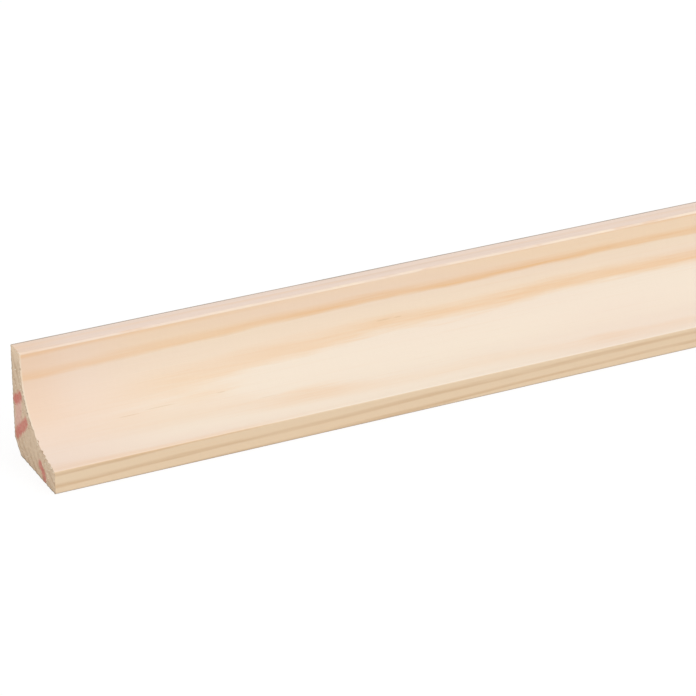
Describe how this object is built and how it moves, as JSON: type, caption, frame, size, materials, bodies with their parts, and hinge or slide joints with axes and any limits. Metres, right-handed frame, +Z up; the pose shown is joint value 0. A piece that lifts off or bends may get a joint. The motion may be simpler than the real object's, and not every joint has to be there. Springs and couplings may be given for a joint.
{
  "type": "cove moulding",
  "caption": "Straight stick of planed pine trim with a concave quarter-round front, flat back and bottom faces, a chamfered heel and square-sawn ends, for covering an inside corner.",
  "frame": {"origin": "on the bottom face, at the middle of the stick's length and of its depth", "axes": "+X along the stick, +Y towards the flat back face, +Z up from the bottom face to the nose"},
  "size_m": [2.4, 0.0254, 0.028],
  "materials": {
    "pine": "planed, unfinished softwood with rough-sawn ends"
  },
  "bodies": {
    "root": {"cove_moulding": "pine"}
  },
  "joints": []
}
